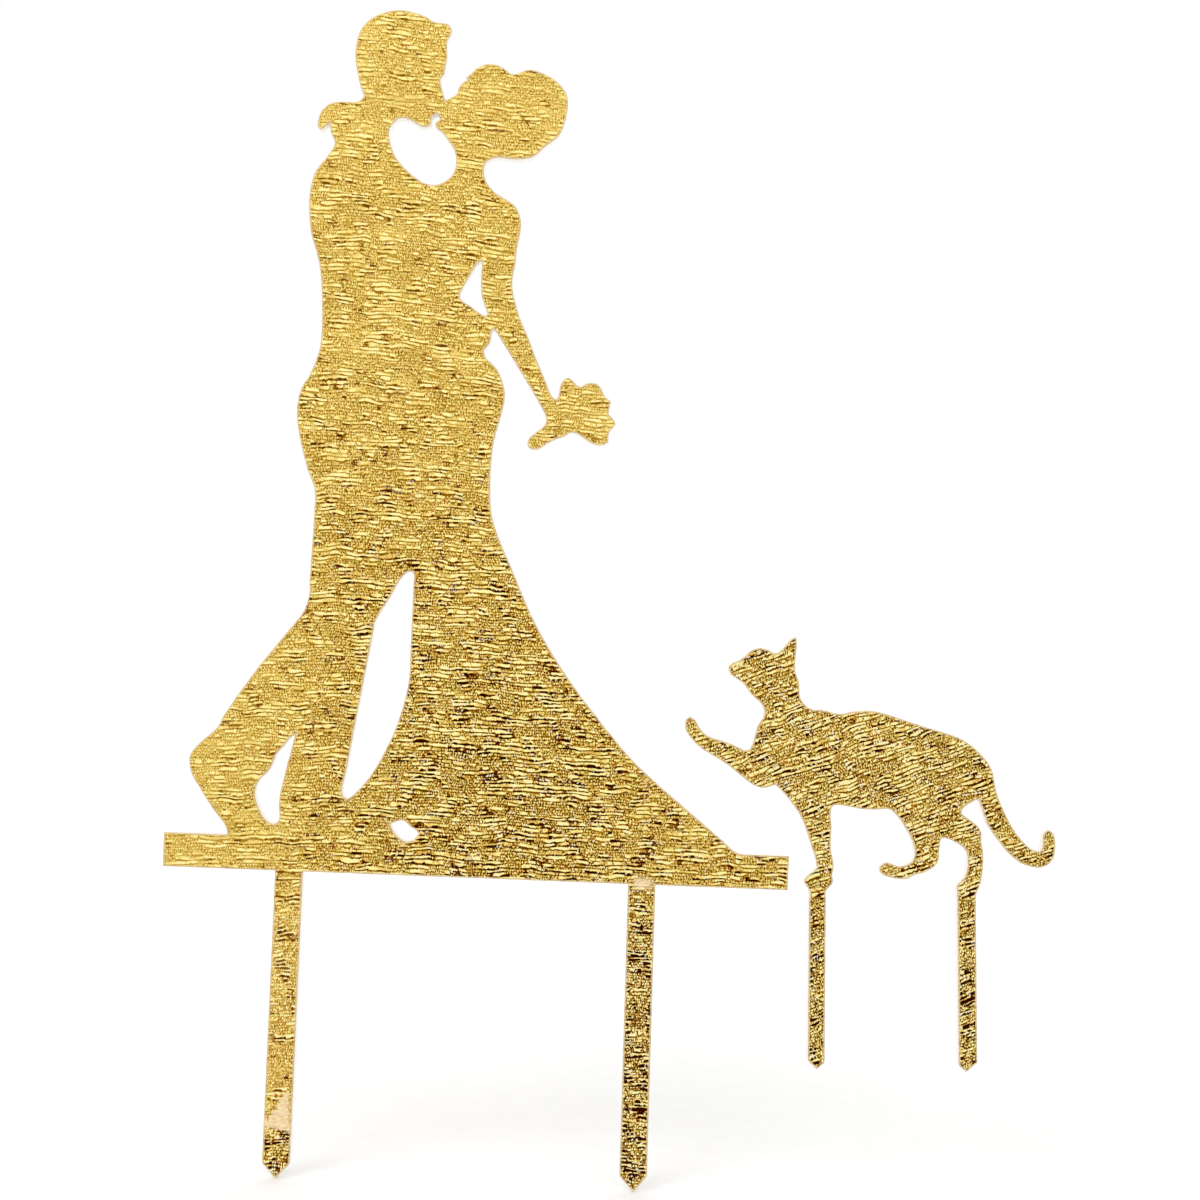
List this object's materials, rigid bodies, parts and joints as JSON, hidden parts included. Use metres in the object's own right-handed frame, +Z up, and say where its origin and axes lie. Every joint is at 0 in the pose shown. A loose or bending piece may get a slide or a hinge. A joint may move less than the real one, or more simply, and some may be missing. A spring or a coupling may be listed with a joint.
{
  "type": "wedding cake topper",
  "caption": "Flat silhouette cake topper: a kissing bride and groom on a base bar with stakes, and a separate cat on its own stakes, gold foil on clear acrylic.",
  "frame": {"origin": "middle of the underside of the couple's base bar, half way through the sheet's thickness", "axes": "+Z up out of the cake, +X along the bar from the groom's side to the cat's side, -Y towards the viewer of the front face"},
  "size_m": [0.1338, 0.0024, 0.176],
  "materials": {
    "clear_acrylic": "clear, laser-cut and flame-smooth on its edges, faintly amber where the cut browned it",
    "gold_foil": "bright metallised gold film with a fine woven net and long drawn threads"
  },
  "bodies": {
    "couple": {"couple_core": "clear_acrylic", "couple_front_foil": "gold_foil", "couple_back_foil": "gold_foil"},
    "cat": {"cat_core": "clear_acrylic", "cat_front_foil": "gold_foil", "cat_back_foil": "gold_foil"}
  },
  "joints": [
    {"name": "cat_pull_out", "type": "slide", "parent": "couple", "child": "cat", "axis": [-0.0386, 0, 0.9993], "range_m": [0, 0.03]}
  ]
}
